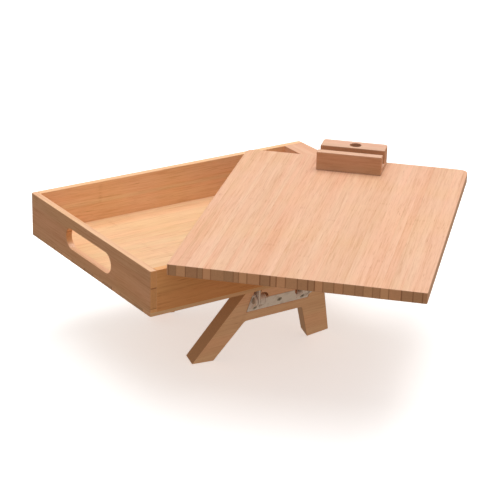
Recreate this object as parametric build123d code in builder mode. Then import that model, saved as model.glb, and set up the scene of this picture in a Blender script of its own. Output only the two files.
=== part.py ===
from build123d import *
import os
from math import cos, hypot, radians, sin

# A clip-on sofa-arm tray table in bamboo. An open tray carries a second board of the same
# footprint, which swivels out on a bolt in the solid ledge at the tray's right end. A phone
# holder turns on the same bolt. Two wooden clamps on stiff hinges under the tray hold it to
# the sofa arm, and fold flat under the tray for storage.
#
# Millimetres. Origin: centre of the tray's underside. +X runs along the tray towards the
# pivot ledge, +Y towards the back, +Z up.

# ---------------------------------------------------------------- driving dimensions

# Tray
tray_length = 350.0
tray_width = 250.0
tray_height = 48.0
wall = 7.2
floor_thick = 3.8
ledge_width = 26.0
outer_corner = 2.0
edge_soft = 0.8
cut_clear = 1.0
handle_length = 94.0
handle_height = 22.0
handle_centre_z = 25.3

# Pivot: an M6 socket-head bolt through the phone holder, the board and the ledge
pivot_x = tray_length / 2 - ledge_width / 2
bolt_radius = 3.0
running_gap = 0.08
insert_radius = 4.5
insert_length = 14.0
ledge_washer_radius = 9.0
ledge_washer_thick = 1.5
bush_radius = 5.0
holder_washer_radius = 8.0
holder_washer_thick = 0.5
bolt_washer_radius = 6.2
bolt_washer_thick = 1.0
bolt_head_radius = 5.0
bolt_head_height = 6.0
hex_key = 5.0
hex_depth = 3.0

# Top board, swung out from its closed place over the tray
board_thick = 11.5
board_overhang = 13.0
board_swing = 43.75
board_pivot_corner = 10.0
board_far_corner = 1.5

# Phone holder
holder_length = 72.0
holder_front = 34.0
holder_back = 12.5
holder_offset = 1.6
holder_height = 20.5
lip_thick = 9.5
slot_width = 14.5
slot_floor = 5.5
holder_seat = 7.0
counterbore_radius = 6.5
holder_soft = 1.2
holder_back_corner = 4.0

# Clamp frames: flat wooden frames, tilted so that their feet point inwards. Heights on a
# clamp are measured up its face from the hinge pin.
clamp_tilt = 24.0
clamp_thick = 14.0
clamp_top = 18.4
clamp_foot_outer = -81.7
clamp_foot_inner = -85.1
crossbar_bottom = -31.8
clamp_top_half = 46.5
clamp_foot_outer_half = 87.6
clamp_foot_inner_half = 60.4
crossbar_half = 36.2
crossbar_corner = 4.0
pin_proud = 1.0
heel_gap = 0.6

# Where the two clamps are hinged: side 1 is the front and -1 the back
pin_inset = {1: 27.0, -1: 23.0}
clamp_shift = {1: 0.0, -1: 23.0}

# Clamp hinges: a face leaf with ears that turn on two short pins, and a fixed bracket
leaf_thick = 1.6
leaf_half = 38.5
leaf_top = -0.7
leaf_bottom = -17.1
lug_inner = 34.2
lug_top = 7.0
leaf_cut_radius = 9.0
leaf_cut_bottom = -7.5
recess_margin = 0.8
pocket_radius = 9.5
pocket_x = 26.5
pocket_u = -0.5
ear_slot_inner = 29.0
ear_slot_outer = 38.2
ear_slot_bottom = -10.0
pin_radius = 2.0
pin_head_radius = 3.2
pin_head_thick = 1.0
ear_thick = 1.6
moving_ear_radius = 5.5
ear_root_bottom = -15.1
ear_root_back = -8.55
ear_shoulder_half = 4.5
ear_shoulder_drop = 3.0
outer_ear_x = 35.0
inner_ear_x = 23.4
fixed_ear_x = 32.4
fixed_ear_half = 6.0
bracket_thick = 2.0
bracket_depth = 20.0
bracket_setback = 12.0
barrel_radius = 5.5
barrel_gap = 0.2

# Wood screws
leaf_screw_x = 30.0
leaf_screw_u = -12.6
middle_screw_u = -8.9
leaf_screw_head = 3.0
leaf_screw_shank = 1.5
leaf_screw_length = 10.0
bracket_screw_head = 3.0
bracket_screw_head_thick = 1.4
bracket_screw_shank = 1.4
bracket_screw_depth = 3.0
bracket_screw_spacing_x = 40.0
bracket_screw_spacing_y = 9.0
cross_width = 0.9
cross_length = 3.4
cross_depth = 0.9

# ---------------------------------------------------------------- derived places

wall_height = tray_height - floor_thick
board_bottom = tray_height + ledge_washer_thick
board_top = board_bottom + board_thick
holder_bottom = board_top + holder_washer_thick
bolt_seat = holder_bottom + holder_seat + bolt_washer_thick
bolt_tip = tray_height - insert_length
heel_radius = hypot(clamp_top, clamp_thick + pin_proud)
pin_z = -heel_radius - heel_gap

board_direction = (cos(radians(board_swing)), sin(radians(board_swing)), 0)


def board_plane(height):
    """A level plane through the pivot axis whose X runs along the swung-out board."""
    return Plane(origin=(pivot_x, 0, height), x_dir=board_direction, z_dir=(0, 0, 1))


def pin_place(side, height):
    """The point at a height over the middle of a clamp's hinge pin."""
    return (clamp_shift[side], -side * (tray_width / 2 - pin_inset[side]), height)


def level_plane(side, height):
    """A level plane over a clamp's hinge pin: X along the pin, Y inwards."""
    return Plane(origin=pin_place(side, height), x_dir=(side, 0, 0), z_dir=(0, 0, 1))


def face_plane(side):
    """A plane through a hinge pin, parallel to its clamp: X along the pin, Y up the clamp."""
    tilt = radians(clamp_tilt)
    return Plane(
        origin=pin_place(side, pin_z),
        x_dir=(side, 0, 0),
        z_dir=(0, -side * cos(tilt), -sin(tilt)),
    )


def cross_plane(plane, x):
    """A plane square to the hinge pin, at x along it: X out of the given plane, Y up it."""
    return Plane(origin=plane.from_local_coords((x, 0, 0)), x_dir=plane.z_dir, z_dir=-plane.x_dir)


os.makedirs("parts", exist_ok=True)

# ---------------------------------------------------------------- tray

with BuildPart() as bottom_panel:
    with BuildSketch():
        RectangleRounded(tray_length, tray_width, outer_corner)
    extrude(amount=floor_thick)
    for side in (1, -1):
        with Locations(level_plane(side, 0)):
            with Locations((0, bracket_setback + bracket_depth / 2, 0)):
                with GridLocations(bracket_screw_spacing_x, bracket_screw_spacing_y, 2, 2):
                    Cylinder(
                        bracket_screw_shank,
                        bracket_screw_depth,
                        align=(Align.CENTER, Align.CENTER, Align.MIN),
                        mode=Mode.SUBTRACT,
                    )
bottom_panel.part.label = "bottom_panel"
export_step(bottom_panel.part, "parts/bottom_panel.step")

for side_name, side in (("front_wall", -1), ("back_wall", 1)):
    with BuildPart() as side_wall:
        with BuildSketch(Plane.XY.offset(floor_thick)):
            with Locations((wall / 2, side * (tray_width - wall) / 2)):
                Rectangle(tray_length - wall, wall)
        extrude(amount=wall_height)
        outside = side_wall.faces().sort_by(Axis.Y)[0 if side < 0 else -1]
        right_corner = outside.edges().filter_by(Axis.Z).sort_by(Axis.X)[-1]
        fillet(right_corner, outer_corner)
        top_long_edges = side_wall.faces().sort_by(Axis.Z)[-1].edges().filter_by(Axis.X)
        fillet(top_long_edges, edge_soft)
    side_wall.part.label = side_name
    export_step(side_wall.part, f"parts/{side_name}.step")

with BuildPart() as left_end_wall:
    with BuildSketch(Plane.XY.offset(floor_thick)):
        with Locations((-(tray_length - wall) / 2, 0)):
            Rectangle(wall, tray_width)
    extrude(amount=wall_height)
    outside = left_end_wall.faces().sort_by(Axis.X)[0]
    fillet(outside.edges().filter_by(Axis.Z), outer_corner)
    with BuildSketch(Plane.YZ.offset(-tray_length / 2 - cut_clear)):
        with Locations((0, handle_centre_z)):
            SlotOverall(handle_length, handle_height)
    extrude(amount=wall + 2 * cut_clear, mode=Mode.SUBTRACT)
    handle_rims = left_end_wall.faces().filter_by(Axis.X).edges().filter_by(
        lambda edge: abs(edge.center().Z - handle_centre_z) < handle_height / 2 + cut_clear
        and abs(edge.center().Y) < handle_length / 2 + cut_clear
    )
    fillet(handle_rims, edge_soft)
    top_long_edges = left_end_wall.faces().sort_by(Axis.Z)[-1].edges().filter_by(Axis.Y)
    fillet(top_long_edges, edge_soft)
left_end_wall.part.label = "left_end_wall"
export_step(left_end_wall.part, "parts/left_end_wall.step")

with BuildPart() as pivot_ledge:
    with BuildSketch(Plane.XY.offset(floor_thick)):
        with Locations((pivot_x, 0)):
            Rectangle(ledge_width, tray_width - 2 * wall)
    extrude(amount=wall_height)
    top_long_edges = pivot_ledge.faces().sort_by(Axis.Z)[-1].edges().filter_by(Axis.Y)
    fillet(top_long_edges, edge_soft)
    with Locations((pivot_x, 0, tray_height)):
        Hole(insert_radius, insert_length)
pivot_ledge.part.label = "pivot_ledge"
export_step(pivot_ledge.part, "parts/pivot_ledge.step")

# ---------------------------------------------------------------- pivot hardware

with BuildPart() as pivot_insert:
    with BuildSketch(Plane.XY.offset(bolt_tip)):
        with Locations((pivot_x, 0)):
            Circle(insert_radius)
            Circle(bolt_radius, mode=Mode.SUBTRACT)
    extrude(amount=insert_length)
pivot_insert.part.label = "pivot_insert"
export_step(pivot_insert.part, "parts/pivot_insert.step")

with BuildPart() as pivot_bolt:
    with BuildSketch(Plane.XY.offset(bolt_tip)):
        with Locations((pivot_x, 0)):
            Circle(bolt_radius)
    extrude(amount=bolt_seat - bolt_tip)
    with BuildSketch(Plane.XY.offset(bolt_seat)):
        with Locations((pivot_x, 0)):
            Circle(bolt_head_radius)
    extrude(amount=bolt_head_height)
    head_top = pivot_bolt.faces().sort_by(Axis.Z)[-1]
    chamfer(head_top.edges(), edge_soft / 2)
    with BuildSketch(Plane.XY.offset(bolt_seat + bolt_head_height)):
        with Locations((pivot_x, 0)):
            RegularPolygon(hex_key / 2, 6, major_radius=False)
    extrude(amount=-hex_depth, mode=Mode.SUBTRACT)
pivot_bolt.part.label = "pivot_bolt"
export_step(pivot_bolt.part, "parts/pivot_bolt.step")

pivot_washers = (
    ("ledge_washer", tray_height, ledge_washer_thick, ledge_washer_radius),
    ("holder_washer", board_top, holder_washer_thick, holder_washer_radius),
    ("bolt_washer", bolt_seat - bolt_washer_thick, bolt_washer_thick, bolt_washer_radius),
)
for washer_name, washer_bottom, washer_thick, washer_radius in pivot_washers:
    with BuildPart() as washer:
        with BuildSketch(Plane.XY.offset(washer_bottom)):
            with Locations((pivot_x, 0)):
                Circle(washer_radius)
                Circle(bolt_radius + running_gap, mode=Mode.SUBTRACT)
        extrude(amount=washer_thick)
    washer.part.label = washer_name
    export_step(washer.part, f"parts/{washer_name}.step")

# ---------------------------------------------------------------- top board and phone holder

with BuildPart() as top_board:
    with BuildSketch(board_plane(board_bottom)):
        with Locations((board_overhang - tray_length / 2, 0)):
            Rectangle(tray_length, tray_width)
        fillet(vertices().group_by(Axis.X)[-1], board_pivot_corner)
        fillet(vertices().group_by(Axis.X)[0], board_far_corner)
    extrude(amount=board_thick)
    fillet(top_board.faces().sort_by(Axis.Z)[-1].edges(), edge_soft)
    fillet(top_board.faces().sort_by(Axis.Z)[0].edges(), edge_soft)
    with Locations((pivot_x, 0, board_top)):
        Hole(bush_radius, board_thick)
top_board.part.label = "top_board"
export_step(top_board.part, "parts/top_board.step")

with BuildPart() as board_bush:
    with BuildSketch(Plane.XY.offset(board_bottom)):
        with Locations((pivot_x, 0)):
            Circle(bush_radius)
            Circle(bolt_radius + running_gap, mode=Mode.SUBTRACT)
    extrude(amount=board_thick)
board_bush.part.label = "board_bush"
export_step(board_bush.part, "parts/board_bush.step")

with BuildPart() as phone_holder:
    with BuildSketch(board_plane(holder_bottom)):
        with Locations(((holder_back - holder_front) / 2, holder_offset)):
            Rectangle(holder_front + holder_back, holder_length)
        fillet(vertices().group_by(Axis.X)[-1], holder_back_corner)
        fillet(vertices().group_by(Axis.X)[0], holder_soft)
    extrude(amount=holder_height)
    with BuildSketch(board_plane(holder_bottom + holder_height)):
        with Locations((-holder_front + lip_thick + slot_width / 2, holder_offset)):
            Rectangle(slot_width, holder_length + 2 * (cut_clear + holder_offset))
    extrude(amount=slot_floor - holder_height, mode=Mode.SUBTRACT)
    fillet(phone_holder.faces().filter_by(Axis.Z).group_by(Axis.Z)[-1].edges(), holder_soft)
    with Locations((pivot_x, 0, holder_bottom + holder_height)):
        CounterBoreHole(
            bolt_radius + running_gap,
            counterbore_radius,
            holder_height - holder_seat,
            holder_height,
        )
phone_holder.part.label = "phone_holder"
export_step(phone_holder.part, "parts/phone_holder.step")

# ---------------------------------------------------------------- clamps


def leaf_outline(margin):
    """The clamp leaf's outline in the current sketch: a plate with a lug up each end."""
    bottom = leaf_bottom - margin
    half = leaf_half + margin
    with Locations((0, (leaf_top + margin + bottom) / 2)):
        Rectangle(2 * half, leaf_top + margin - bottom)
    lug_width = leaf_half - lug_inner + 2 * margin
    with Locations(
        ((leaf_half + lug_inner) / 2, (lug_top + margin + bottom) / 2),
        (-(leaf_half + lug_inner) / 2, (lug_top + margin + bottom) / 2),
    ):
        Rectangle(lug_width, lug_top + margin - bottom)


def screw_places():
    """The three screw places on a clamp leaf, in the clamp's own plane."""
    return ((-leaf_screw_x, leaf_screw_u), (0, middle_screw_u), (leaf_screw_x, leaf_screw_u))


for side_name, side in (("front", 1), ("back", -1)):
    face = face_plane(side)
    outer_face = face.offset(-pin_proud)

    with BuildPart() as clamp_frame:
        with BuildSketch(outer_face):
            with BuildLine():
                Polyline(
                    (0, clamp_top),
                    (clamp_top_half, clamp_top),
                    (clamp_foot_outer_half, clamp_foot_outer),
                    (clamp_foot_inner_half, clamp_foot_inner),
                    (crossbar_half, crossbar_bottom),
                    (0, crossbar_bottom),
                )
                mirror(about=Plane.YZ)
            make_face()
            inner_corners = vertices().filter_by(
                lambda corner: abs(corner.Y - crossbar_bottom) < edge_soft
                and abs(corner.X) > edge_soft
            )
            fillet(inner_corners, crossbar_corner)
        extrude(amount=-clamp_thick)
        through_clamp = Axis(face.origin, face.z_dir)
        fillet(clamp_frame.faces().sort_by(through_clamp)[-1].edges(), edge_soft)
        fillet(clamp_frame.faces().sort_by(through_clamp)[0].edges(), edge_soft)
        with BuildSketch(outer_face.offset(cut_clear)):
            with Locations((pocket_x, pocket_u), (-pocket_x, pocket_u)):
                Circle(pocket_radius)
            slot_centre = (ear_slot_inner + ear_slot_outer) / 2
            slot_height = clamp_top + cut_clear - ear_slot_bottom
            with Locations((slot_centre, ear_slot_bottom), (-slot_centre, ear_slot_bottom)):
                Rectangle(
                    ear_slot_outer - ear_slot_inner,
                    slot_height,
                    align=(Align.CENTER, Align.MIN),
                )
        extrude(amount=-clamp_thick - 2 * cut_clear, mode=Mode.SUBTRACT)
        with BuildSketch(outer_face):
            leaf_outline(recess_margin)
        extrude(amount=-leaf_thick, mode=Mode.SUBTRACT)
        with BuildSketch(outer_face):
            with Locations(*screw_places()):
                Circle(leaf_screw_shank)
        extrude(amount=-leaf_screw_length, mode=Mode.SUBTRACT)
    clamp_frame.part.label = f"{side_name}_clamp_frame"
    export_step(clamp_frame.part, f"parts/{side_name}_clamp_frame.step")

    with BuildPart() as clamp_leaf:
        with BuildSketch(outer_face):
            leaf_outline(0)
            with Locations((pocket_x, pocket_u), (-pocket_x, pocket_u)):
                Circle(leaf_cut_radius, mode=Mode.SUBTRACT)
            cut_width = lug_inner - ear_slot_inner
            cut_x = ear_slot_inner + cut_width / 2
            with Locations((cut_x, leaf_cut_bottom), (-cut_x, leaf_cut_bottom)):
                Rectangle(
                    cut_width,
                    lug_top - leaf_cut_bottom,
                    align=(Align.CENTER, Align.MIN),
                    mode=Mode.SUBTRACT,
                )
        extrude(amount=-leaf_thick)
        for ear_x in (outer_ear_x, inner_ear_x, -inner_ear_x, -outer_ear_x):
            with BuildSketch(cross_plane(face, ear_x)):
                Circle(moving_ear_radius)
                back = -pin_proud - leaf_thick
                with BuildLine():
                    Polyline(
                        (back, ear_root_bottom),
                        (-pin_proud, ear_root_bottom),
                        (ear_shoulder_half, -ear_shoulder_drop),
                        (0, 0),
                        (-ear_shoulder_half, -ear_shoulder_drop),
                        (back, ear_root_back),
                        close=True,
                    )
                make_face()
            extrude(amount=ear_thick / 2, both=True)
            with BuildSketch(cross_plane(face, ear_x)):
                Circle(pin_radius)
            extrude(amount=ear_thick, both=True, mode=Mode.SUBTRACT)
        for end in (1, -1):
            with BuildSketch(cross_plane(face, end * (outer_ear_x + ear_thick / 2))):
                Circle(pin_head_radius + barrel_gap)
            extrude(amount=-end * (pin_head_thick + barrel_gap), mode=Mode.SUBTRACT)
        with Locations(outer_face):
            with Locations(*screw_places()):
                CounterSinkHole(leaf_screw_shank, leaf_screw_head, leaf_thick)
    clamp_leaf.part.label = f"{side_name}_clamp_leaf"
    export_step(clamp_leaf.part, f"parts/{side_name}_clamp_leaf.step")

    with BuildPart() as clamp_screws:
        for screw_x, screw_u in screw_places():
            screw_plane = Plane(
                origin=outer_face.from_local_coords((screw_x, screw_u, 0)),
                x_dir=face.x_dir,
                z_dir=face.z_dir,
            )
            with BuildSketch(screw_plane):
                Circle(leaf_screw_shank)
            extrude(amount=-leaf_screw_length)
            with BuildSketch(screw_plane):
                Circle(leaf_screw_head)
            extrude(amount=-(leaf_screw_head - leaf_screw_shank), taper=45)
            with BuildSketch(screw_plane):
                Rectangle(cross_length, cross_width)
                Rectangle(cross_width, cross_length)
            extrude(amount=-cross_depth, mode=Mode.SUBTRACT)
    clamp_screws.part.label = f"{side_name}_clamp_screws"
    export_step(clamp_screws.part, f"parts/{side_name}_clamp_screws.step")

    with BuildPart() as hinge_pins:
        for end in (1, -1):
            outer_end = outer_ear_x + ear_thick / 2
            inner_end = inner_ear_x - ear_thick / 2
            with BuildSketch(cross_plane(face, end * outer_end)):
                Circle(pin_radius)
            extrude(amount=end * (outer_end - inner_end))
            with BuildSketch(cross_plane(face, end * outer_end)):
                Circle(pin_head_radius)
            extrude(amount=-end * pin_head_thick)
            with BuildSketch(cross_plane(face, end * inner_end)):
                Circle(pin_head_radius)
            extrude(amount=end * pin_head_thick)
    hinge_pins.part.label = f"{side_name}_hinge_pins"
    export_step(hinge_pins.part, f"parts/{side_name}_hinge_pins.step")

    with BuildPart() as hinge_bracket:
        with BuildSketch(level_plane(side, 0)):
            with Locations((0, bracket_setback + bracket_depth / 2)):
                Rectangle(2 * fixed_ear_x + ear_thick, bracket_depth)
                with GridLocations(bracket_screw_spacing_x, bracket_screw_spacing_y, 2, 2):
                    Circle(bracket_screw_shank, mode=Mode.SUBTRACT)
        extrude(amount=-bracket_thick)
        for ear_x in (fixed_ear_x, -fixed_ear_x):
            pin_level = level_plane(side, pin_z)
            ear_plane = Plane(
                origin=pin_level.from_local_coords((ear_x, 0, 0)),
                x_dir=pin_level.y_dir,
                z_dir=pin_level.x_dir,
            )
            with BuildSketch(ear_plane):
                Circle(fixed_ear_half)
                with Locations((0, -pin_z / 2)):
                    Rectangle(2 * fixed_ear_half, -pin_z)
                with Locations((-fixed_ear_half, -pin_z - fixed_ear_half)):
                    Rectangle(
                        fixed_ear_half + bracket_setback + bracket_depth,
                        fixed_ear_half,
                        align=(Align.MIN, Align.MIN),
                    )
                Circle(pin_radius + running_gap, mode=Mode.SUBTRACT)
            extrude(amount=ear_thick / 2, both=True)
    hinge_bracket.part.label = f"{side_name}_hinge_bracket"
    export_step(hinge_bracket.part, f"parts/{side_name}_hinge_bracket.step")

    with BuildPart() as bracket_screws:
        with BuildSketch(level_plane(side, -bracket_thick)):
            with Locations((0, bracket_setback + bracket_depth / 2)):
                with GridLocations(bracket_screw_spacing_x, bracket_screw_spacing_y, 2, 2):
                    Circle(bracket_screw_head)
        extrude(amount=-bracket_screw_head_thick)
        fillet(bracket_screws.faces().group_by(Axis.Z)[0].edges(), edge_soft)
        with BuildSketch(level_plane(side, -bracket_thick)):
            with Locations((0, bracket_setback + bracket_depth / 2)):
                with GridLocations(bracket_screw_spacing_x, bracket_screw_spacing_y, 2, 2):
                    Circle(bracket_screw_shank)
        extrude(amount=bracket_thick + bracket_screw_depth)
        with BuildSketch(level_plane(side, -bracket_thick - bracket_screw_head_thick)):
            with Locations((0, bracket_setback + bracket_depth / 2)):
                with GridLocations(bracket_screw_spacing_x, bracket_screw_spacing_y, 2, 2):
                    Rectangle(cross_length, cross_width)
                    Rectangle(cross_width, cross_length)
        extrude(amount=cross_depth, mode=Mode.SUBTRACT)
    bracket_screws.part.label = f"{side_name}_bracket_screws"
    export_step(bracket_screws.part, f"parts/{side_name}_bracket_screws.step")

    with BuildPart() as hinge_barrels:
        for end in (1, -1):
            barrel_start = inner_ear_x + ear_thick / 2
            barrel_end = fixed_ear_x - ear_thick / 2 - barrel_gap
            with BuildSketch(cross_plane(face, end * barrel_start)):
                Circle(barrel_radius)
                Circle(pin_radius, mode=Mode.SUBTRACT)
            extrude(amount=-end * (barrel_end - barrel_start))
    hinge_barrels.part.label = f"{side_name}_hinge_barrels"
    export_step(hinge_barrels.part, f"parts/{side_name}_hinge_barrels.step")
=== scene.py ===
from math import acos, atan2, cos, hypot, pi, radians, sin, tau

import bmesh
import bpy
from mathutils import Euler, Matrix, Vector


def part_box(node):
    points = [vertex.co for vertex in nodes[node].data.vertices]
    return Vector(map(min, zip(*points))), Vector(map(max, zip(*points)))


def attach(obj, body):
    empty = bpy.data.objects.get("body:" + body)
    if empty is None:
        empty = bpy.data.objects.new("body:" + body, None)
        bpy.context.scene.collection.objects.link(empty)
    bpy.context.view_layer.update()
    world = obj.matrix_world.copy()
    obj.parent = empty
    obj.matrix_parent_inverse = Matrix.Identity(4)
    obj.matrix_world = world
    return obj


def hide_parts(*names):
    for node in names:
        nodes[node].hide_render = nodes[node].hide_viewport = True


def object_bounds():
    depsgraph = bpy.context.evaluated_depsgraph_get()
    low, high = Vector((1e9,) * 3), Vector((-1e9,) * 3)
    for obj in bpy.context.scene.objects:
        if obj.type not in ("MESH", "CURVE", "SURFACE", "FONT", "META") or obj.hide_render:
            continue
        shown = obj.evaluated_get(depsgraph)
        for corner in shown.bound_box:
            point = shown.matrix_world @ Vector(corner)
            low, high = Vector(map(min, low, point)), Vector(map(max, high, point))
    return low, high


# A clip-on sofa-arm tray table in bamboo. Metres, in the frame of the CAD model: the origin is
# the centre of the tray's underside, +X runs along the tray to its pivot ledge, +Z is up.

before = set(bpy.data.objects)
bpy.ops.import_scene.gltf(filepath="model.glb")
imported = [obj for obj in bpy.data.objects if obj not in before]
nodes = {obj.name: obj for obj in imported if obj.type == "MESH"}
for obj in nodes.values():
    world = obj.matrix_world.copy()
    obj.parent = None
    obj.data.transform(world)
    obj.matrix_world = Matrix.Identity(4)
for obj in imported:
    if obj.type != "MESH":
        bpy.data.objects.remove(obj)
cad_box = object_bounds()

MM = 0.001

# ---------------------------------------------------------------- camera

CAMERA_PLACE = Vector((-0.9668, -1.4594, 0.7095))
CAMERA_HEADING = radians(34.19)
CAMERA_DOWN = radians(22.33)
CAMERA_ROLL = radians(1.57)
CAMERA_LENS = 126.4
SENSOR = 36.0
CAMERA_NEAR = 0.05
CAMERA_FAR = 20


def add_camera():
    """The camera: heading is turned from +Y towards +X, and it looks down at the object."""
    data = bpy.data.cameras.new("camera")
    data.lens = CAMERA_LENS
    data.sensor_width = SENSOR
    data.clip_start = CAMERA_NEAR
    data.clip_end = CAMERA_FAR
    camera = bpy.data.objects.new("camera", data)
    bpy.context.scene.collection.objects.link(camera)
    level = Euler((pi / 2 - CAMERA_DOWN, 0, -CAMERA_HEADING), "XYZ").to_matrix().to_4x4()
    roll = Matrix.Rotation(CAMERA_ROLL, 4, "Z")
    camera.matrix_world = Matrix.Translation(CAMERA_PLACE) @ level @ roll
    bpy.context.scene.camera = camera


# ---------------------------------------------------------------- node helpers


class Graph:
    """A small helper that adds and links shader nodes in one material."""

    def __init__(self, name):
        self.material = bpy.data.materials.new(name)
        self.material.use_nodes = True
        self.tree = self.material.node_tree
        self.tree.nodes.clear()
        self.shader = self.add("ShaderNodeBsdfPrincipled")
        output = self.add("ShaderNodeOutputMaterial")
        self.link(self.shader.outputs["BSDF"], output.inputs["Surface"])

    def add(self, kind, **values):
        node = self.tree.nodes.new(kind)
        for key, value in values.items():
            setattr(node, key, value)
        return node

    def link(self, source, target):
        self.tree.links.new(source, target)

    def feed(self, socket, value):
        """Sets a socket to a number or colour, or links it to another node's output."""
        if isinstance(value, bpy.types.NodeSocket):
            self.link(value, socket)
        elif hasattr(socket.default_value, "__len__"):
            socket.default_value = tuple(value)
        else:
            socket.default_value = value

    def math(self, operation, first, second=0.0, third=0.0):
        node = self.add("ShaderNodeMath", operation=operation)
        for socket, value in zip(node.inputs, (first, second, third)):
            self.feed(socket, value)
        return node.outputs[0]

    def blend(self, amount, first, second, mode="MIX"):
        """Mixes two colours by amount."""
        node = self.add("ShaderNodeMix", data_type="RGBA", blend_type=mode)
        self.feed(node.inputs["Factor"], amount)
        self.feed(node.inputs[6], first)
        self.feed(node.inputs[7], second)
        return node.outputs[2]

    def span(self, value, low, high, new_low=0.0, new_high=1.0):
        """Maps a value from one range to another, held to the new range."""
        node = self.add("ShaderNodeMapRange", clamp=True)
        for socket, number in zip(node.inputs, (value, low, high, new_low, new_high)):
            self.feed(socket, number)
        return node.outputs["Result"]

    def noise(self, vector, scale=1.0, detail=2.0, rough=0.5, distortion=0.0):
        node = self.add("ShaderNodeTexNoise")
        self.feed(node.inputs["Vector"], vector)
        self.feed(node.inputs["Scale"], scale)
        self.feed(node.inputs["Detail"], detail)
        self.feed(node.inputs["Roughness"], rough)
        self.feed(node.inputs["Distortion"], distortion)
        return node.outputs["Fac"]

    def vector(self, x, y, z):
        node = self.add("ShaderNodeCombineXYZ")
        for socket, value in zip(node.inputs, (x, y, z)):
            self.feed(socket, value)
        return node.outputs["Vector"]

    def raise_surface(self, height, strength, distance):
        """Bumps the surface by a height pattern."""
        bump = self.add("ShaderNodeBump")
        self.feed(bump.inputs["Strength"], strength)
        self.feed(bump.inputs["Distance"], distance)
        self.link(height, bump.inputs["Height"])
        self.link(bump.outputs["Normal"], self.shader.inputs["Normal"])


# ---------------------------------------------------------------- bamboo


def srgb(red, green, blue):
    """A colour given as 8-bit screen values, as linear light."""
    def linear(value):
        value = value / 255
        return value / 12.92 if value <= 0.04045 else ((value + 0.055) / 1.055) ** 2.4
    return (linear(red), linear(green), linear(blue), 1.0)


BLUSH = (1.03, 0.95, 0.95, 1.0)
STRAW = (0.98, 0.98, 0.88, 1.0)
STREAK = (0.87, 0.79, 0.73, 1.0)
FLECK = (0.72, 0.58, 0.48, 1.0)
GLUE = (0.45, 0.3, 0.22, 1.0)
PLAIN = (1.0, 1.0, 1.0, 1.0)

# Noise drawn out along the grain: features per metre along it and across it, detail, roughness
# and distortion
FINE_FIBRES = (60.0, 1700.0, 3.0, 0.6)
STREAK_FIBRES = (24.0, 620.0, 4.0, 0.65, 0.3)
FLECK_FIBRES = (38.0, 900.0, 2.0, 0.5, 0.6)
BAND_FIBRES = (3.0, 85.0, 3.0)
BLUSH_PATCHES = (1.2, 46.0, 2.0)
CLOUD_SCALE = 14.0
CLOUD_DETAIL = 2.0

# Ranges for span: from low and high, and where they are given, to low and high
STRIP_MIX = (0.0, 1.0, 0.1, 0.42)
BAND_MIX = (0.38, 0.72, 0.0, 0.6)
BLUSH_MIX = (0.42, 0.62)
CLOUD_MIX = (0.45, 0.7, 0.0, 0.7)
STREAK_MIX = (0.48, 0.68, 0.0, 1.0)
FINE_MIX = (0.48, 0.74, 0.0, 0.75)
FLECK_MIX = (0.66, 0.74, 0.0, 0.7)
# The range over the normal's height where upright faces take painted shade
UPRIGHT_SHADE_MIX = (0.5, 0.8, 1.0, 0.0)
END_MIX = (0.6, 0.85)
END_TONE = (0.2, 1.3, 0.72, 1.22)
END_GLUE_TONE = (0.3, 0.6, 0.3, 1.0)
EDGE_MIX = (0.80, 0.98, 1.0, 0.0)
EDGE_WEAR_AND_HIGHLIGHT = (0.3, 0.6, 0.25, 0.6)
WOOD_ROUGH = (0.7, 1.3, 0.36, 0.52)

# The culm's joints, and the glue lines between strips
STRIP_SHIFT = 7.0
JOINTS_PER_METRE = 3.4
JOINT_HALF_WIDTH = 0.012
JOINT_BREAKS = (0.42, 0.6)
JOINT_STRENGTH = 0.35
GLUE_WIDTH = 0.35 * MM
GLUE_STRENGTH = 0.22
END_GLUE_WIDTH = 0.9 * MM
END_STREAKS = 0.9
END_HUE = 0.8
EDGE_RADIUS = 1.2 * MM
GLUE_GROOVE = 0.8

# Each piece's pattern starts somewhere else, by this much for each step of its seed
SEED_STEP = (0.37, 0.191, 0.083)


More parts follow.
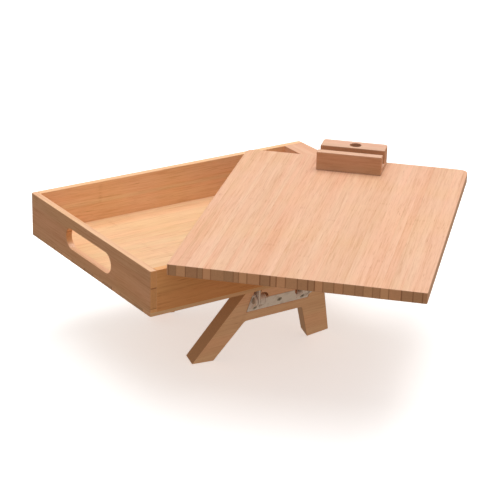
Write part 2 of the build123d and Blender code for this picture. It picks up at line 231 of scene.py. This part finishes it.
def bamboo(name, grain_turn, strip, pale, deep, end, seed, strip_axis="Y", side=PLAIN):
    """Edge-glued, lacquered bamboo.

    grain_turn is the rotation from the row frame to the piece's own frame, whose X runs along
    the grain. strip is the usual width of one glued strip, across strip_axis. side darkens the
    upright faces as painted shade, for the light that reaches them less than the tops.
    """
    graph = Graph(name)
    place = graph.add("ShaderNodeTexCoord")
    turn = graph.add("ShaderNodeMapping", vector_type="TEXTURE")
    turn.inputs["Rotation"].default_value = grain_turn
    turn.inputs["Location"].default_value = tuple(step * seed for step in SEED_STEP)
    graph.link(place.outputs["Object"], turn.inputs["Vector"])
    parts = graph.add("ShaderNodeSeparateXYZ")
    graph.link(turn.outputs["Vector"], parts.inputs["Vector"])
    along = parts.outputs["X"]
    across = parts.outputs[strip_axis]
    through = parts.outputs["Z" if strip_axis == "Y" else "Y"]

    # Which strip a point is in, and how far it is from the strip's glued edge
    cells = []
    for feature in ("F1", "DISTANCE_TO_EDGE"):
        cell = graph.add("ShaderNodeTexVoronoi", voronoi_dimensions="1D", feature=feature)
        graph.link(across, cell.inputs["W"])
        cell.inputs["Scale"].default_value = 1 / strip
        cell.inputs["Randomness"].default_value = 1.0
        cells.append(cell)
    shade = graph.add("ShaderNodeSeparateColor")
    graph.link(cells[0].outputs["Color"], shade.inputs["Color"])
    strip_tone = shade.outputs["Red"]
    strip_hue = shade.outputs["Green"]
    glue = graph.span(cells[1].outputs["Distance"], 0.0, GLUE_WIDTH / strip, 1.0, 0.0)

    # Fibres: long thin streaks, a different set in every strip
    shift = graph.math("MULTIPLY", strip_tone, STRIP_SHIFT)
    shifted = graph.math("ADD", along, shift)

    def stretched(long_scale, cross_scale, detail, rough=0.5, distortion=0.0):
        """Noise drawn out along the grain, with scales in features per metre."""
        stretched_place = graph.vector(
            graph.math("MULTIPLY", shifted, long_scale),
            graph.math("MULTIPLY", across, cross_scale),
            graph.math("MULTIPLY", through, cross_scale),
        )
        return graph.noise(stretched_place, 1.0, detail, rough, distortion)

    fine = stretched(*FINE_FIBRES)
    streaks = stretched(*STREAK_FIBRES)
    flecks = stretched(*FLECK_FIBRES)
    bands = stretched(*BAND_FIBRES)
    clouds = graph.noise(turn.outputs["Vector"], CLOUD_SCALE, CLOUD_DETAIL)
    blush = stretched(*BLUSH_PATCHES)

    # The culm's joints: a faint darker bar across each strip now and then
    joint_place = graph.math("FRACT", graph.math("MULTIPLY", shifted, JOINTS_PER_METRE))
    joint_reach = graph.math("ABSOLUTE", graph.math("SUBTRACT", joint_place, 0.5))
    joint_bar = graph.span(joint_reach, 0.0, JOINT_HALF_WIDTH, 1.0, 0.0)
    joint_bar = graph.math("MULTIPLY", joint_bar, graph.span(streaks, *JOINT_BREAKS))

    # Colour
    colour = graph.blend(graph.span(strip_tone, *STRIP_MIX), pale, deep)
    colour = graph.blend(graph.span(bands, *BAND_MIX), colour, deep)
    tints = (
        (graph.span(blush, *BLUSH_MIX), BLUSH),
        (graph.span(clouds, *CLOUD_MIX), STRAW),
        (graph.span(streaks, *STREAK_MIX), STREAK),
        (graph.span(fine, *FINE_MIX), STREAK),
        (graph.span(flecks, *FLECK_MIX), FLECK),
        (graph.math("MULTIPLY", joint_bar, JOINT_STRENGTH), FLECK),
        (graph.math("MULTIPLY", glue, GLUE_STRENGTH), FLECK),
    )
    for amount, tint in tints:
        colour = graph.blend(amount, colour, tint, "MULTIPLY")

    # Upright faces: painted shade, darkened by the side colour
    upright = graph.add("ShaderNodeSeparateXYZ")
    graph.link(place.outputs["Normal"], upright.inputs["Vector"])
    upright_painted_shade = graph.span(graph.math("ABSOLUTE", upright.outputs["Z"]), *UPRIGHT_SHADE_MIX)
    colour = graph.blend(upright_painted_shade, colour, side, "MULTIPLY")

    # End grain: darker, with strong differences between strips and thin dark glue lines
    facing = graph.add("ShaderNodeMapping", vector_type="TEXTURE")
    facing.inputs["Rotation"].default_value = grain_turn
    graph.link(place.outputs["Normal"], facing.inputs["Vector"])
    facing_parts = graph.add("ShaderNodeSeparateXYZ")
    graph.link(facing.outputs["Vector"], facing_parts.inputs["Vector"])
    is_end = graph.span(graph.math("ABSOLUTE", facing_parts.outputs["X"]), *END_MIX)
    end_mix = graph.math("ADD", strip_tone, graph.math("MULTIPLY", streaks, END_STREAKS))
    end_tone = graph.span(end_mix, *END_TONE)
    end_grey = graph.vector(end_tone, end_tone, end_tone)
    end_colour = graph.blend(1.0, end, end_grey, "MULTIPLY")
    end_hue = graph.math("MULTIPLY", strip_hue, END_HUE)
    end_colour = graph.blend(end_hue, end_colour, BLUSH, "MULTIPLY")
    end_distance = cells[1].outputs["Distance"]
    end_line = graph.span(end_distance, 0.0, END_GLUE_WIDTH / strip, 1.0, 0.0)
    dark_glue = graph.math("MULTIPLY", end_line, graph.span(strip_hue, *END_GLUE_TONE))
    end_colour = graph.blend(dark_glue, end_colour, GLUE, "MULTIPLY")
    colour = graph.blend(is_end, colour, end_colour)

    # Sanded edges, where the lacquer is thin and pale, also lightened as a painted highlight
    # along the edges
    soft = graph.add("ShaderNodeBevel", samples=4)
    soft.inputs["Radius"].default_value = EDGE_RADIUS
    sharp = graph.add("ShaderNodeNewGeometry")
    turned = graph.add("ShaderNodeVectorMath", operation="DOT_PRODUCT")
    graph.link(soft.outputs["Normal"], turned.inputs[0])
    graph.link(sharp.outputs["Normal"], turned.inputs[1])
    edge = graph.span(turned.outputs["Value"], *EDGE_MIX)
    worn_and_highlit = graph.math("MULTIPLY", edge, graph.span(streaks, *EDGE_WEAR_AND_HIGHLIGHT))
    colour = graph.blend(worn_and_highlit, colour, pale)

    graph.link(colour, graph.shader.inputs["Base Color"])
    rough = graph.span(graph.math("ADD", streaks, clouds), *WOOD_ROUGH)
    graph.link(rough, graph.shader.inputs["Roughness"])
    graph.shader.inputs["Coat Weight"].default_value = 0.18
    graph.shader.inputs["Coat Roughness"].default_value = 0.28
    graph.shader.inputs["Specular IOR Level"].default_value = 0.42

    half_fine = graph.math("MULTIPLY", fine, 0.5)
    half_streaks = graph.math("MULTIPLY", streaks, 0.5)
    height = graph.math("ADD", half_fine, half_streaks)
    height = graph.math("SUBTRACT", height, graph.math("MULTIPLY", glue, GLUE_GROOVE))
    graph.raise_surface(height, 0.22, 0.12 * MM)
    return graph.material


# ---------------------------------------------------------------- metal


# Drawn lines per metre along the piece and across it, and the size and spread of smudges
LINES_ALONG = 90.0
LINES_ACROSS = 2600.0
SMUDGE_SCALE = 140.0
GRIME_MIX = (0.5, 0.78)
GRIME_STRENGTH = 0.7
LINE_SHARE = 0.6
SMUDGE_SHARE = 0.4
SMOOTHER = 0.08
ROUGHER = 0.12


def metal(name, colour, dark, rough, metallic=1.0):
    """Plated sheet steel or brass with fine drawn lines, smudges and dull spots."""
    graph = Graph(name)
    place = graph.add("ShaderNodeTexCoord")
    parts = graph.add("ShaderNodeSeparateXYZ")
    graph.link(place.outputs["Object"], parts.inputs["Vector"])
    lines = graph.noise(
        graph.vector(
            graph.math("MULTIPLY", parts.outputs["X"], LINES_ALONG),
            graph.math("MULTIPLY", parts.outputs["Y"], LINES_ACROSS),
            graph.math("MULTIPLY", parts.outputs["Z"], LINES_ACROSS),
        ),
        detail=3.0,
    )
    smudges = graph.noise(place.outputs["Object"], scale=SMUDGE_SCALE, detail=4.0, rough=0.6)
    grime = graph.math("MULTIPLY", graph.span(smudges, *GRIME_MIX), GRIME_STRENGTH)
    graph.link(graph.blend(grime, colour, dark), graph.shader.inputs["Base Color"])
    graph.shader.inputs["Metallic"].default_value = metallic
    graph.shader.inputs["Anisotropic"].default_value = 0.3
    line_share = graph.math("MULTIPLY", lines, LINE_SHARE)
    smudge_share = graph.math("MULTIPLY", smudges, SMUDGE_SHARE)
    mixed = graph.math("ADD", line_share, smudge_share)
    roughness = graph.span(mixed, 0.3, 0.7, rough - SMOOTHER, rough + ROUGHER)
    graph.link(roughness, graph.shader.inputs["Roughness"])
    graph.raise_surface(mixed, 0.15, 0.05 * MM)
    return graph.material


def plastic(name, colour):
    """Matt moulded plastic with a fine skin texture."""
    graph = Graph(name)
    place = graph.add("ShaderNodeTexCoord")
    skin = graph.noise(place.outputs["Object"], scale=900.0, detail=3.0)
    tone = graph.span(skin, 0.3, 0.7, 0.93, 1.04)
    toned = graph.blend(1.0, colour, graph.vector(tone, tone, tone), "MULTIPLY")
    graph.link(toned, graph.shader.inputs["Base Color"])
    graph.link(graph.span(skin, 0.3, 0.7, 0.5, 0.62), graph.shader.inputs["Roughness"])
    graph.raise_surface(skin, 0.2, 0.05 * MM)
    return graph.material


def dress(material, *node_names):
    """Gives a material to CAD nodes."""
    for node_name in node_names:
        slots = nodes[node_name].data.materials
        slots.clear()
        slots.append(material)


# ---------------------------------------------------------------- which piece gets which material

BOARD_SWING = radians(43.75)
CLAMP_TILT = radians(24)

PALE = srgb(238, 195, 164)
DEEP = srgb(220, 168, 129)
END = srgb(200, 152, 114)

floor_wood = bamboo(
    "bamboo_floor",
    (0, 0, 0),
    20 * MM,
    srgb(248, 213, 172),
    srgb(232, 188, 140),
    END,
    1,
)
dress(floor_wood, "bottom_panel")
wall_end = srgb(226, 168, 112)
# The front and back walls are one bamboo in two colours: the front wall darker as painted shade,
# the back wall lighter as painted light.
front_wood_painted_shade = bamboo(
    "bamboo_front_wall_painted_shade",
    (0, 0, 0),
    24 * MM,
    srgb(244, 186, 124),
    srgb(224, 158, 98),
    wall_end,
    2,
    "Z",
)
dress(front_wood_painted_shade, "front_wall")
back_wood_painted_light = bamboo(
    "bamboo_back_wall_painted_light",
    (0, 0, 0),
    24 * MM,
    srgb(254, 214, 168),
    srgb(244, 190, 140),
    wall_end,
    2,
    "Z",
)
dress(back_wood_painted_light, "back_wall")
# The end wall's top is painted lighter as painted light, and its upright faces are darkened as
# painted shade.
end_wall_painted_shade = (0.78, 0.69, 0.64, 1.0)
end_walls_painted_light_and_shade = bamboo(
    "bamboo_end_wall",
    (0, 0, pi / 2),
    24 * MM,
    srgb(248, 204, 164),
    srgb(228, 180, 138),
    wall_end,
    3,
    "Z",
    side=end_wall_painted_shade,
)
dress(end_walls_painted_light_and_shade, "left_end_wall")
dress(bamboo("bamboo_ledge", (0, 0, pi / 2), 20 * MM, PALE, DEEP, END, 4, "Z"), "pivot_ledge")
dress(bamboo("bamboo_board", (0, 0, BOARD_SWING), 9 * MM, PALE, DEEP, END, 5), "top_board")
holder_grain = (0, 0, BOARD_SWING + pi / 2)
# The holder's upright faces are darkened as painted shade.
holder_painted_shade = (0.7, 0.62, 0.52, 1.0)
holder_wood_painted_shade = bamboo(
    "bamboo_holder",
    holder_grain,
    10 * MM,
    srgb(234, 194, 168),
    srgb(214, 166, 134),
    END,
    6,
    side=holder_painted_shade,
)
dress(holder_wood_painted_shade, "phone_holder")
for side_name, side in (("front", 1), ("back", -1)):
    clamp_grain = (-side * CLAMP_TILT, 0, 0)
    clamp_wood = bamboo(
        f"bamboo_{side_name}_clamp",
        clamp_grain,
        60 * MM,
        srgb(254, 208, 170),
        srgb(238, 184, 144),
        srgb(206, 156, 112),
        7 + side,
        "Z",
    )
    dress(clamp_wood, f"{side_name}_clamp_frame")

steel = metal("plated_steel", srgb(250, 242, 242), srgb(200, 188, 184), 0.42, 0.35)
fastener = metal("zinc_fasteners", srgb(200, 192, 186), srgb(104, 96, 90), 0.34, 0.7)
washer = metal("washer_steel", srgb(185, 182, 178), srgb(110, 104, 98), 0.35)
brass = metal("turned_brass", srgb(214, 176, 96), srgb(130, 96, 50), 0.28)
nylon = plastic("nylon", srgb(228, 226, 218))
for side_name in ("front", "back"):
    dress(steel, f"{side_name}_clamp_leaf", f"{side_name}_hinge_bracket")
    dress(
        fastener,
        f"{side_name}_hinge_pins",
        f"{side_name}_clamp_screws",
        f"{side_name}_bracket_screws",
    )
dress(fastener, "pivot_bolt")
dress(washer, "ledge_washer", "bolt_washer")
dress(brass, "pivot_insert", "board_bush")
dress(nylon, "holder_washer")


# ---------------------------------------------------------------- hinge coils

WIRE = 0.62 * MM
COIL_LENGTH = 7.2 * MM
COIL_TURNS = 5
COIL_STEPS = 18
WIRE_SIDES = 10
LEAF_DEPTH = 1.0 * MM
TAIL_REACH = 11.5 * MM
SLEEVE_INNER = 2.1 * MM
SLEEVE_OUTER = 3.4 * MM
SLEEVE_SIDES = 32


def bridge(shape, first, second):
    """Joins two rings of corners with a band of faces."""
    for step in range(len(first)):
        after = (step + 1) % len(first)
        shape.faces.new((first[step], first[after], second[after], second[step]))


def add_wire(shape, path, radius):
    """Adds a closed round wire that follows a path of points."""
    rings = []
    side = (path[1] - path[0]).orthogonal().normalized()
    for index, point in enumerate(path):
        along = path[min(index + 1, len(path) - 1)] - path[max(index - 1, 0)]
        along.normalize()
        side = (side - along * side.dot(along)).normalized()
        lift = along.cross(side)
        ring = []
        for step in range(WIRE_SIDES):
            angle = tau * step / WIRE_SIDES
            reach = radius * (cos(angle) * side + sin(angle) * lift)
            ring.append(shape.verts.new(point + reach))
        rings.append(ring)
    for first, second in zip(rings, rings[1:]):
        bridge(shape, first, second)
    shape.faces.new(list(reversed(rings[0])))
    shape.faces.new(rings[-1])


def add_sleeve(shape, place, start, end):
    """Adds a plain tube round the hinge pin, from start to end along the pin."""
    rings = []
    corners = (
        (start, SLEEVE_INNER),
        (start, SLEEVE_OUTER),
        (end, SLEEVE_OUTER),
        (end, SLEEVE_INNER),
    )
    for x, radius in corners:
        ring = []
        for step in range(SLEEVE_SIDES):
            angle = tau * step / SLEEVE_SIDES
            ring.append(shape.verts.new(place(x, radius * cos(angle), radius * sin(angle))))
        rings.append(ring)
    for index, first in enumerate(rings):
        bridge(shape, first, rings[(index + 1) % len(rings)])


def add_hinge_coils(side_name, side):
    """The two torsion coils on one clamp's hinge pins, each with a tail that lies on the leaf."""
    low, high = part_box(f"{side_name}_hinge_barrels")
    middle = (low + high) / 2
    coil_radius = (high.z - low.z) / 2 - WIRE
    outer = (high.x - low.x) / 2 - WIRE
    inner = outer - COIL_LENGTH + 2 * WIRE
    outward = Vector((0, -side * cos(CLAMP_TILT), -sin(CLAMP_TILT)))
    upward = Vector((0, -side * sin(CLAMP_TILT), cos(CLAMP_TILT)))

    def place(x, out, up):
        """A point at x along the pins, out from the clamp's face and up it."""
        return middle + Vector((x, 0, 0)) + out * outward + up * upward

    tail_out = WIRE - LEAF_DEPTH
    leave = atan2(-TAIL_REACH, tail_out) + acos(coil_radius / hypot(TAIL_REACH, tail_out))
    shape = bmesh.new()
    for end in (1, -1):
        path = []
        for step in range(COIL_TURNS * COIL_STEPS + 1):
            done = step / (COIL_TURNS * COIL_STEPS)
            angle = leave + tau * COIL_TURNS * (1 - done)
            x = end * (outer + (inner - outer) * done)
            path.append(place(x, coil_radius * cos(angle), coil_radius * sin(angle)))
        path.append(place(end * inner, tail_out, -TAIL_REACH))
        add_wire(shape, path, WIRE)
        add_sleeve(shape, place, end * (inner - WIRE), end * (outer + WIRE))
    bmesh.ops.recalc_face_normals(shape, faces=shape.faces)
    mesh = bpy.data.meshes.new(f"{side_name}_hinge_coils")
    shape.to_mesh(mesh)
    shape.free()
    mesh.materials.append(steel)
    mesh.shade_smooth()
    coils = bpy.data.objects.new(f"{side_name}_hinge_coils", mesh)
    bpy.context.scene.collection.objects.link(coils)
    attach(coils, f"{side_name}_clamp")
    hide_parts(f"{side_name}_hinge_barrels")


for side_name, side in (("front", 1), ("back", -1)):
    add_hinge_coils(side_name, side)


# ---------------------------------------------------------------- stage


FLOOR_REACH = 6.0
FLOOR_TONE = (0.3, 0.7, 0.93, 0.95)
FLOOR_GLOW = 0.5
BACKDROP_REACH = 5.9
BACKDROP_HEIGHT = 6.0
BACKDROP_SIDES = 96
WHITE = (1.0, 1.0, 1.0, 1.0)
BLACK = (0.0, 0.0, 0.0, 1.0)

# The room's light by direction: strength from a low direction to a high one, and its colour
ROOM_LOW = -0.2
ROOM_HIGH = 0.7
ROOM_DIM = 0.36
ROOM_BRIGHT = 0.55
ROOM_WARM = (1.0, 0.80, 0.58, 1.0)
WARM_TO = 0.6


def add_floor():
    """A plain pale floor under the clamps' feet."""
    floor_z = cad_box[0][2]
    mesh = bpy.data.meshes.new("floor")
    reach = FLOOR_REACH
    corners = [(-reach, -reach), (reach, -reach), (reach, reach), (-reach, reach)]
    mesh.from_pydata([(x, y, floor_z) for x, y in corners], [], [(0, 1, 2, 3)])
    floor = bpy.data.objects.new("floor", mesh)
    bpy.context.scene.collection.objects.link(floor)
    graph = Graph("floor_paint")
    place = graph.add("ShaderNodeTexCoord")
    grain = graph.noise(place.outputs["Object"], scale=30.0, detail=2.0)
    tone = graph.span(grain, *FLOOR_TONE)
    graph.link(graph.vector(tone, tone, tone), graph.shader.inputs["Base Color"])
    graph.shader.inputs["Roughness"].default_value = 0.85
    graph.shader.inputs["Emission Color"].default_value = WHITE
    graph.shader.inputs["Emission Strength"].default_value = FLOOR_GLOW
    mesh.materials.append(graph.material)
    floor.visible_diffuse = False
    floor.visible_glossy = False


def add_backdrop():
    """A round white wall far behind the object. It is only seen: it neither lights nor shades."""
    foot = cad_box[0][2]
    mesh = bpy.data.meshes.new("backdrop")
    sides = BACKDROP_SIDES
    angles = [tau * step / sides for step in range(sides)]
    ring = [(BACKDROP_REACH * cos(angle), BACKDROP_REACH * sin(angle)) for angle in angles]
    low = [(x, y, foot) for x, y in ring]
    high = [(x, y, foot + BACKDROP_HEIGHT) for x, y in ring]
    faces = []
    for step in range(sides):
        after = (step + 1) % sides
        faces.append((step, after, sides + after, sides + step))
    mesh.from_pydata(low + high, [], faces)
    backdrop = bpy.data.objects.new("backdrop", mesh)
    bpy.context.scene.collection.objects.link(backdrop)
    graph = Graph("backdrop_paper")
    graph.shader.inputs["Base Color"].default_value = BLACK
    graph.shader.inputs["Specular IOR Level"].default_value = 0.0
    graph.shader.inputs["Emission Color"].default_value = WHITE
    graph.shader.inputs["Emission Strength"].default_value = 1.0
    mesh.materials.append(graph.material)
    backdrop.visible_diffuse = False
    backdrop.visible_glossy = False
    backdrop.visible_shadow = False


def add_light(name, place, aim, size, power):
    """A soft square area light at place, aimed at a point."""
    data = bpy.data.lights.new(name, "AREA")
    data.shape = "SQUARE"
    data.size = size
    data.energy = power
    light = bpy.data.objects.new(name, data)
    bpy.context.scene.collection.objects.link(light)
    direction = Vector(aim) - Vector(place)
    light.rotation_euler = direction.to_track_quat("-Z", "Y").to_euler()
    light.location = place


def add_lights():
    """Two big soft panels overhead, and a pale room that is dimmer and warmer low down."""
    add_light("key", (0.7, 0.3, 2.0), (0, 0, 0), 1.5, 23)
    add_light("top", (-0.3, -0.3, 2.2), (0, 0, 0), 1.8, 15)
    world = bpy.data.worlds.new("studio")
    world.use_nodes = True
    tree = world.node_tree
    backdrop = tree.nodes["Background"]
    place = tree.nodes.new("ShaderNodeTexCoord")
    parts = tree.nodes.new("ShaderNodeSeparateXYZ")
    rise = tree.nodes.new("ShaderNodeMapRange")
    rise.inputs["From Min"].default_value = ROOM_LOW
    rise.inputs["From Max"].default_value = ROOM_HIGH
    rise.inputs["To Min"].default_value = ROOM_DIM
    rise.inputs["To Max"].default_value = ROOM_BRIGHT
    tree.links.new(place.outputs["Generated"], parts.inputs["Vector"])
    tree.links.new(parts.outputs["Z"], rise.inputs["Value"])
    tree.links.new(rise.outputs["Result"], backdrop.inputs["Strength"])
    warmth = tree.nodes.new("ShaderNodeMix")
    warmth.data_type = "RGBA"
    warmth.inputs[6].default_value = ROOM_WARM
    warmth.inputs[7].default_value = WHITE
    whiten = tree.nodes.new("ShaderNodeMapRange")
    whiten.inputs["From Min"].default_value = 0.0
    whiten.inputs["From Max"].default_value = WARM_TO
    tree.links.new(parts.outputs["Z"], whiten.inputs["Value"])
    tree.links.new(whiten.outputs["Result"], warmth.inputs["Factor"])
    tree.links.new(warmth.outputs[2], backdrop.inputs["Color"])
    bpy.context.scene.world = world
    bpy.context.scene.view_settings.view_transform = "Standard"


add_camera()
add_floor()
add_backdrop()
add_lights()
